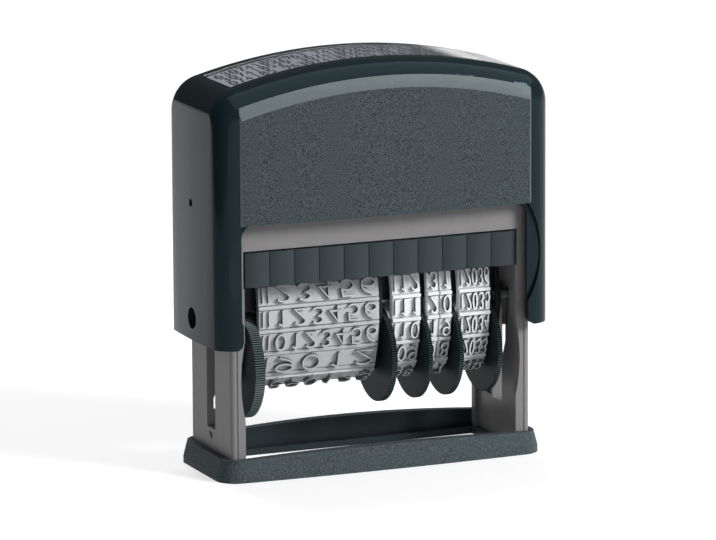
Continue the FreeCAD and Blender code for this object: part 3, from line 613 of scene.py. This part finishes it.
def digitStrokes():
    ring = arcStroke(0.5, 1.0, 0.42, 0.92, 90, 450, 26)[:-1]
    six = joined(
        [(0.80, 1.90)],
        arcStroke(0.92, 0.85, 0.84, 0.98, 112, 172, 6),
        arcStroke(0.5, 0.55, 0.42, 0.47, 180, 520, 18),
    )
    return {
        "0": [(ring, True)],
        "1": [(joined([(0.22, 1.56), (0.54, 1.92), (0.54, 0.06)]), False)],
        "2": [
            (
                joined(
                    arcStroke(0.49, 1.45, 0.40, 0.46, 160, -28, 12),
                    [(0.10, 0.10), (0.92, 0.10)],
                ),
                False,
            )
        ],
        "3": [
            (
                joined(
                    arcStroke(0.46, 1.48, 0.38, 0.44, 150, -80, 12),
                    arcStroke(0.46, 0.55, 0.43, 0.48, 80, -150, 14),
                ),
                False,
            )
        ],
        "4": [
            (joined([(0.66, 0.05), (0.66, 1.92), (0.08, 0.62), (0.94, 0.62)]), False),
        ],
        "5": [
            (
                joined(
                    [(0.86, 1.90), (0.20, 1.90), (0.14, 1.10)],
                    arcStroke(0.46, 0.66, 0.43, 0.58, 128, -145, 16),
                ),
                False,
            )
        ],
        "6": [(six, False)],
        "7": [(joined([(0.08, 1.90), (0.92, 1.90), (0.34, 0.05)]), False)],
        "8": [
            (arcStroke(0.5, 1.50, 0.34, 0.42, 90, 450, 18)[:-1], True),
            (arcStroke(0.5, 0.57, 0.42, 0.49, 90, 450, 20)[:-1], True),
        ],
        "9": [(np.array([1.0, 2.0]) - six, False)],
        "|": [(joined([(0.5, 0.12), (0.5, 1.88)]), False)],
    }


strokes = digitStrokes()


# A stroke's solid: at each point of the path stand four corners, a wide foot and a narrower top,
# set out along the mitre of its two runs. The mitre is the sum of the two unit side directions
# divided by one plus their dot product. The third array marks the faces that are its flanks.
strokeLimits = {"shortestRun": 1e-9, "leastMitre": 0.35}


def strokeSolid(path, closed, foot, top, height):
    ahead = np.roll(path, -1, 0) - path
    ahead /= np.maximum(np.linalg.norm(ahead, axis=1, keepdims=True), strokeLimits["shortestRun"])
    if not closed:
        ahead[-1] = ahead[-2]
    behind = np.roll(ahead, 1, 0)
    if not closed:
        behind[0] = ahead[0]
    sideA = np.stack([-behind[:, 1], behind[:, 0]], 1)
    sideB = np.stack([-ahead[:, 1], ahead[:, 0]], 1)
    spread = 1 + (sideA * sideB).sum(1, keepdims=True)
    mitre = (sideA + sideB) / np.maximum(spread, strokeLimits["leastMitre"])
    corners = [(foot / 2, 0.0), (top / 2, height), (-top / 2, height), (-foot / 2, 0.0)]
    rows = [np.column_stack([path + mitre * side, np.full(len(path), up)]) for side, up in corners]
    points = np.stack(rows, 1).reshape(-1, 3)
    count = len(path)
    i = np.arange(count if closed else count - 1)
    j = (i + 1) % count
    faces = []
    for k in range(4):
        m = (k + 1) % 4
        faces.append(np.stack([4 * i + k, 4 * j + k, 4 * j + m, 4 * i + m], 1))
    faces = np.concatenate(faces)
    flank = np.repeat(np.array([1, 0, 1, 0]), len(i))
    if not closed:
        last = 4 * (count - 1)
        caps = [[3, 2, 1, 0], [last, last + 1, last + 2, last + 3]]
        faces = np.concatenate([faces, np.array(caps)])
        flank = np.concatenate([flank, [1, 1]])
    return points, faces, flank


# The outer line of a band from the middle of its top towards the back, as points in millimetres:
# a flat over the bar, a quarter round, a bulged side, a round under the drum, and the same back up.
bandSet = {
    "axle": 29.1, "shaft": 19.5, "beltTop": 37.05, "halfFlat": 3.75, "corner": 1.0,
    "bulge": 4.7, "drum": 2.8, "leave": 20.0, "thickness": 0.8, "rows": 13, "reach": 0.4,
    "padHeight": 0.35, "letterStand": 0.75, "letterHeight": 3.2, "sink": 0.12, "edge": 0.12,
    "footSpread": 1.05, "wordStroke": 0.32, "dateStroke": 0.28, "digitShare": 0.74,
    "tickGap": 0.15, "tickStroke": 0.3, "tickStand": 0.7,
}


# The circle through three points: its centre is as far from the first as from the second, and as
# far from the second as from the third, which are two linear equations
def circleThrough(a, b, c):
    left = 2 * np.array([b - a, c - b])
    right = np.array([b @ b - a @ a, c @ c - b @ b])
    centre = np.linalg.solve(left, right)
    return centre, float(np.linalg.norm(a - centre))


def bandLine(s, steps=400):
    leave = math.radians(s["leave"])
    sideTop = np.array([s["halfFlat"], s["beltTop"] - s["corner"]])
    drumEnd = np.array([s["drum"] * math.cos(leave), s["shaft"] - s["drum"] * math.sin(leave)])
    middle = np.array([s["bulge"], (sideTop[1] + drumEnd[1]) / 2])
    centre, radius = circleThrough(sideTop, middle, drumEnd)
    startAngle = math.atan2(*(sideTop - centre)[::-1])
    endAngle = math.atan2(*(drumEnd - centre)[::-1])
    t = np.linspace(0, 1, steps)[:, None]
    flatEnd = s["halfFlat"] - s["corner"]
    wall = s["thickness"]
    flat = np.hstack([flatEnd * t, np.full_like(t, s["beltTop"] + wall)])
    turn = math.pi / 2 * (1 - t)
    reach = s["corner"] + wall
    cornerMid = np.array([flatEnd, s["beltTop"] - s["corner"]])
    round1 = cornerMid + reach * np.hstack([np.cos(turn), np.sin(turn)])
    sweep = startAngle + (endAngle - startAngle) * t
    side = centre + (radius + wall) * np.hstack([np.cos(sweep), np.sin(sweep)])
    under = -leave + (-math.pi / 2 + leave) * t
    drumMid = np.array([0.0, s["shaft"]])
    round2 = drumMid + (s["drum"] + wall) * np.hstack([np.cos(under), np.sin(under)])
    half = np.concatenate([flat, round1, side, round2])
    other = half[::-1] * np.array([-1.0, 1.0])
    return np.concatenate([half, other])


bandPoints = bandLine(bandSet)


# A row's centre and direction at a share of the line's whole length. The direction is the chord
# between two points that lie the reach before and after it.
def alongBand(share, reach):
    step = np.linalg.norm(np.diff(bandPoints, axis=0), axis=1)
    length = np.concatenate([[0], np.cumsum(step)])
    want = (share % 1.0) * length[-1]
    place = np.array([np.interp(want, length, bandPoints[:, k]) for k in (0, 1)])
    before = np.array([np.interp(want - reach, length, bandPoints[:, k]) for k in (0, 1)])
    after = np.array([np.interp(want + reach, length, bandPoints[:, k]) for k in (0, 1)])
    if want < reach:
        run = np.array([1.0, 0.0])
    else:
        run = (after - before) / np.linalg.norm(after - before)
    return place, run


# Digits of one row, laid left to right in cells, each standing on the pad with its head against the run
def rowSolids(text, x0, x1, share, s, stroke, lift, stand):
    place, run = alongBand(share, s["reach"])
    out = np.array([-run[1], run[0]])
    if out @ (place - np.array([0.0, (s["axle"] + s["shaft"]) / 2])) < 0:
        out = -out
    cell = (x1 - x0) / len(text)
    width = cell * s["digitShare"]
    scaleY = s["letterHeight"] / 2
    made = []
    for k, mark in enumerate(text):
        for path, closed in strokes.get(mark, []):
            flat = path * np.array([width, scaleY])
            points, faces, flank = strokeSolid(flat, closed, stroke * s["footSpread"], stroke, stand)
            x = x0 + cell * k + (cell - width) / 2 + points[:, 0]
            up = points[:, 1] - s["letterHeight"] / 2
            rise = points[:, 2] + lift
            y = place[0] - run[0] * up + out[0] * rise
            z = place[1] - run[1] * up + out[1] * rise
            made.append((np.stack([x, y, z], 1) * mm, faces[:, ::-1], flank))
    return made


# Joins solids into one mesh object with its place in the mesh: flanks take the second material, a painted
# shade on the bands
def meshPiece(name, solids, material, flankMaterial, body):
    points = np.concatenate([solid[0] for solid in solids])
    starts = np.cumsum([0] + [len(solid[0]) for solid in solids[:-1]])
    faces = np.concatenate([solid[1] + start for solid, start in zip(solids, starts)])
    flanks = np.concatenate([solid[2] for solid in solids])
    mesh = bpy.data.meshes.new(name)
    mesh.from_pydata(points, [], faces.tolist())
    mesh.materials.append(material)
    mesh.materials.append(flankMaterial)
    mesh.polygons.foreach_set("material_index", flanks.astype(np.int32))
    shape = bmesh.new()
    shape.from_mesh(mesh)
    bmesh.ops.recalc_face_normals(shape, faces=shape.faces)
    shape.to_mesh(mesh)
    shape.free()
    piece = bpy.data.objects.new(name, mesh)
    scene.collection.objects.link(piece)
    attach(piece, body)
    return piece


# What each band shows: plain running numbers in every row, and a narrow column of tick marks beside
# them whose width is in millimetres
bandTexts = {
    "phrase": {
        "rows": [
            "1234567", "234567", "3456", "4567890", "567890", "67890", "7890123",
            "890123", "9012", "0123456", "123456", "23456", "3456789",
        ],
        "ticks": "||", "column": 2.5,
    },
    "month": {"rows": ["%02d" % (n + 1) for n in range(12)] + ["00"], "ticks": "|", "column": 0.95},
    "tens": {"rows": list("0123012301230"), "ticks": "", "column": 0.0},
    "units": {"rows": list("0123456789012"), "ticks": "", "column": 0.0},
    "year": {"rows": [str(2025 + n) for n in range(13)], "ticks": "|", "column": 1.0},
}


def bandType(name, s):
    low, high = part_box(name + "_band")
    text = bandTexts[name]
    left = low.x / mm + s["edge"]
    right = high.x / mm - s["edge"]
    middle = left + text["column"]
    kind = "word" if name == "phrase" else "date"
    stroke = s[kind + "Stroke"]
    lift = s["padHeight"] - s["sink"]
    stand = s["letterStand"] + s["sink"]
    ticksEnd = middle - s["tickGap"]
    tickStand = stand * s["tickStand"]
    solids = []
    for i, row in enumerate(text["rows"]):
        share = i / s["rows"]
        solids += rowSolids(row, middle, right, share, s, stroke, lift, stand)
        if text["ticks"]:
            solids += rowSolids(text["ticks"], left, ticksEnd, share, s, s["tickStroke"], lift, tickStand)
    top = finish[kind + "Rubber"]
    # The digits' flanks take the painted flank shade
    return meshPiece(name + "_type", solids, top, finish["rubberFlankShade"], "print_unit")


for wheel in wheelNames:
    piece = bandType(wheel, bandSet)
    print(piece.name, len(piece.data.polygons), "faces")


# Printed rows on the card under the window, each digit a flat mark that follows the arch.
# The card's arch is the crown's, lower by the window over it.
cardSet = {
    "rows": 3, "columns": 36, "digitHeight": 3.4, "digitWidth": 1.05, "stroke": 0.46, "stand": 0.02,
    "sink": 0.25, "endMargin": 1.2, "sideMargin": 1.0, "crownRadius": 106.0, "cardDepth": 1.25,
    "digitSteps": (7, 3), "gapSteps": (5, 11), "gapCycle": 13, "gapAt": 4,
}


# The digit at a column and row, or nothing at the gaps
def cardMark(c, r, s):
    if (c * s["gapSteps"][0] + r * s["gapSteps"][1]) % s["gapCycle"] == s["gapAt"]:
        return ""
    return str((c * s["digitSteps"][0] + r * s["digitSteps"][1]) % 10)


def cardPrint(s):
    low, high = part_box("label_card")
    radius = s["crownRadius"] - s["cardDepth"]
    centreZ = high.z / mm - radius
    span = (high.x - low.x) / mm - s["endMargin"]
    depth = (high.y - low.y) / mm - s["sideMargin"]
    solids = []
    for r in range(s["rows"]):
        y = -depth / 2 + depth * (r + 0.5) / s["rows"]
        for c in range(s["columns"]):
            x = -span / 2 + span * (c + 0.5) / s["columns"]
            for path, closed in strokes.get(cardMark(c, r, s), []):
                flat = path * np.array([s["digitWidth"], s["digitHeight"] / 2])
                flat -= np.array([s["digitWidth"] / 2, s["digitHeight"] / 2])
                points, faces, flank = strokeSolid(flat, closed, s["stroke"], s["stroke"], s["stand"])
                px = x + points[:, 0]
                arch = centreZ + np.sqrt(radius**2 - px**2)
                pz = arch + points[:, 2] - s["stand"] * s["sink"]
                solids.append((np.stack([px, y + points[:, 1], pz], 1) * mm, faces, flank))
    return meshPiece("card_print", solids, finish["cardInk"], finish["cardInk"], "housing")


cardPiece = cardPrint(cardSet)
print("card print:", len(cardPiece.data.polygons), "faces")


# Studio: a pale floor that keeps a soft shadow, a white world for the camera and reflections
studioSet = {
    "floorSize": 6.0, "floorColour": 0.70, "floorGlow": 0.56, "floorShade": 0.58,
    "skyLight": 0.22, "darkSky": 0.08, "whiteUpTo": 0.0, "darkFrom": 0.05,
}


# One where the camera, a mirror or clear plastic looks, and zero where light is gathered
def seenDirectly(tree, x, y):
    path = addNode(tree, "ShaderNodeLightPath", x, y)
    seen = path.outputs["Is Camera Ray"]
    for step, label in enumerate(("Is Glossy Ray", "Is Transmission Ray"), 1):
        seen = mathNode(tree, "MAXIMUM", x + 200 * step, y, seen, path.outputs[label])
    return seen


def makeFloor(s):
    half = s["floorSize"] / 2
    mesh = bpy.data.meshes.new("studioFloor")
    corners = [(-half, -half, 0), (half, -half, 0), (half, half, 0), (-half, half, 0)]
    mesh.from_pydata(corners, [], [(0, 1, 2, 3)])
    material = bpy.data.materials.new("studioFloor")
    material.use_nodes = True
    tree = material.node_tree
    tree.nodes.clear()
    full = addNode(tree, "ShaderNodeBsdfDiffuse", -300, 200)
    full.inputs["Color"].default_value = (s["floorColour"],) * 3 + (1,)
    part = addNode(tree, "ShaderNodeBsdfDiffuse", -300, 0)
    part.inputs["Color"].default_value = (s["floorShade"],) * 3 + (1,)
    glow = addNode(tree, "ShaderNodeEmission", -300, -200)
    glow.inputs["Strength"].default_value = s["floorGlow"]
    lit = addNode(tree, "ShaderNodeAddShader", -80, -100)
    tree.links.new(part.outputs[0], lit.inputs[0])
    tree.links.new(glow.outputs[0], lit.inputs[1])
    pick = addNode(tree, "ShaderNodeMixShader", 120, 0)
    tree.links.new(seenDirectly(tree, -700, 400), pick.inputs[0])
    tree.links.new(full.outputs[0], pick.inputs[1])
    tree.links.new(lit.outputs[0], pick.inputs[2])
    end = addNode(tree, "ShaderNodeOutputMaterial", 320, 0)
    tree.links.new(pick.outputs[0], end.inputs["Surface"])
    mesh.materials.append(material)
    floor = bpy.data.objects.new("studioFloor", mesh)
    scene.collection.objects.link(floor)


def makeWorld(s):
    world = bpy.data.worlds.new("studioWorld")
    scene.world = world
    world.use_nodes = True
    tree = world.node_tree
    tree.nodes.clear()
    lighting = addNode(tree, "ShaderNodeBackground", 0, 100)
    lighting.inputs["Strength"].default_value = s["skyLight"]
    lighting.inputs["Color"].default_value = (1, 1, 1, 1)
    shown = addNode(tree, "ShaderNodeBackground", 0, -100)
    shown.inputs["Color"].default_value = (1, 1, 1, 1)
    direction = addNode(tree, "ShaderNodeTexCoord", -700, -200)
    parts = addNode(tree, "ShaderNodeSeparateXYZ", -500, -200)
    tree.links.new(direction.outputs["Generated"], parts.inputs[0])
    fade = addNode(tree, "ShaderNodeMapRange", -300, -200, interpolation_type="SMOOTHSTEP")
    fade.inputs["From Min"].default_value = s["whiteUpTo"]
    fade.inputs["From Max"].default_value = s["darkFrom"]
    fade.inputs["To Min"].default_value = 1.0
    fade.inputs["To Max"].default_value = s["darkSky"]
    tree.links.new(parts.outputs["Z"], fade.inputs["Value"])
    tree.links.new(fade.outputs[0], shown.inputs["Strength"])
    pick = addNode(tree, "ShaderNodeMixShader", 200, 0)
    tree.links.new(seenDirectly(tree, -600, 200), pick.inputs[0])
    tree.links.new(lighting.outputs[0], pick.inputs[1])
    tree.links.new(shown.outputs[0], pick.inputs[2])
    end = addNode(tree, "ShaderNodeOutputWorld", 400, 0)
    tree.links.new(pick.outputs[0], end.inputs["Surface"])


# Cards that only glossy surfaces see: a dark one keeps the round corners of the housing dark,
# and a pale one overhead gives the crown's front edge its even sheen
studioCards = {
    "leftCard": {
        "corners": [(-0.36, 0.26, -0.01), (-0.20, -0.36, -0.01), (-0.20, -0.36, 0.42), (-0.36, 0.26, 0.42)],
        "glow": 0.0,
    },
    "rimCard": {
        "corners": [(-0.30, -1.10, 0.80), (1.20, -1.10, 0.80), (1.20, 0.20, 0.80), (-0.30, 0.20, 0.80)],
        "glow": 2.0,
    },
}
studioCardLook = {"colour": (0.01, 0.01, 0.01), "glowColour": (0.88, 0.97, 1.0)}


def makeCards(table, look):
    for name, s in table.items():
        material = bpy.data.materials.new(name)
        material.use_nodes = True
        shader = material.node_tree.nodes["Principled BSDF"]
        shader.inputs["Base Color"].default_value = (*look["colour"], 1)
        shader.inputs["Roughness"].default_value = 1.0
        shader.inputs["Emission Color"].default_value = (*look["glowColour"], 1)
        shader.inputs["Emission Strength"].default_value = s["glow"]
        mesh = bpy.data.meshes.new(name)
        mesh.from_pydata(s["corners"], [], [(0, 1, 2, 3)])
        mesh.materials.append(material)
        card = bpy.data.objects.new(name, mesh)
        card.visible_camera = False
        card.visible_diffuse = False
        card.visible_transmission = False
        card.visible_shadow = False
        scene.collection.objects.link(card)


# Each lamp: where it stands, what size it is, its power in watts and whether gloss mirrors it.
# All point at the same spot in the object.
lampAim = (0.0, 0.0, 0.04)
lamps = {
    "keyLamp": {"place": (0.58, -0.68, 0.50), "size": (0.34, 0.34), "power": 10.4, "mirrored": True},
    "topLamp": {"place": (0.02, 0.40, 0.90), "size": (0.40, 0.30), "power": 4.6, "mirrored": False},
}


def makeLamps(table):
    for name, s in table.items():
        light = bpy.data.lights.new(name, "AREA")
        light.shape = "RECTANGLE"
        light.size, light.size_y = s["size"]
        light.energy = s["power"]
        lamp = bpy.data.objects.new(name, light)
        lamp.visible_glossy = s["mirrored"]
        lamp.location = s["place"]
        aim = Vector(lampAim) - Vector(s["place"])
        lamp.rotation_euler = aim.to_track_quat("-Z", "Y").to_euler()
        scene.collection.objects.link(lamp)


makeFloor(studioSet)
makeWorld(studioSet)
makeCards(studioCards, studioCardLook)
makeLamps(lamps)
scene.view_settings.view_transform = "Standard"
print("studio made")
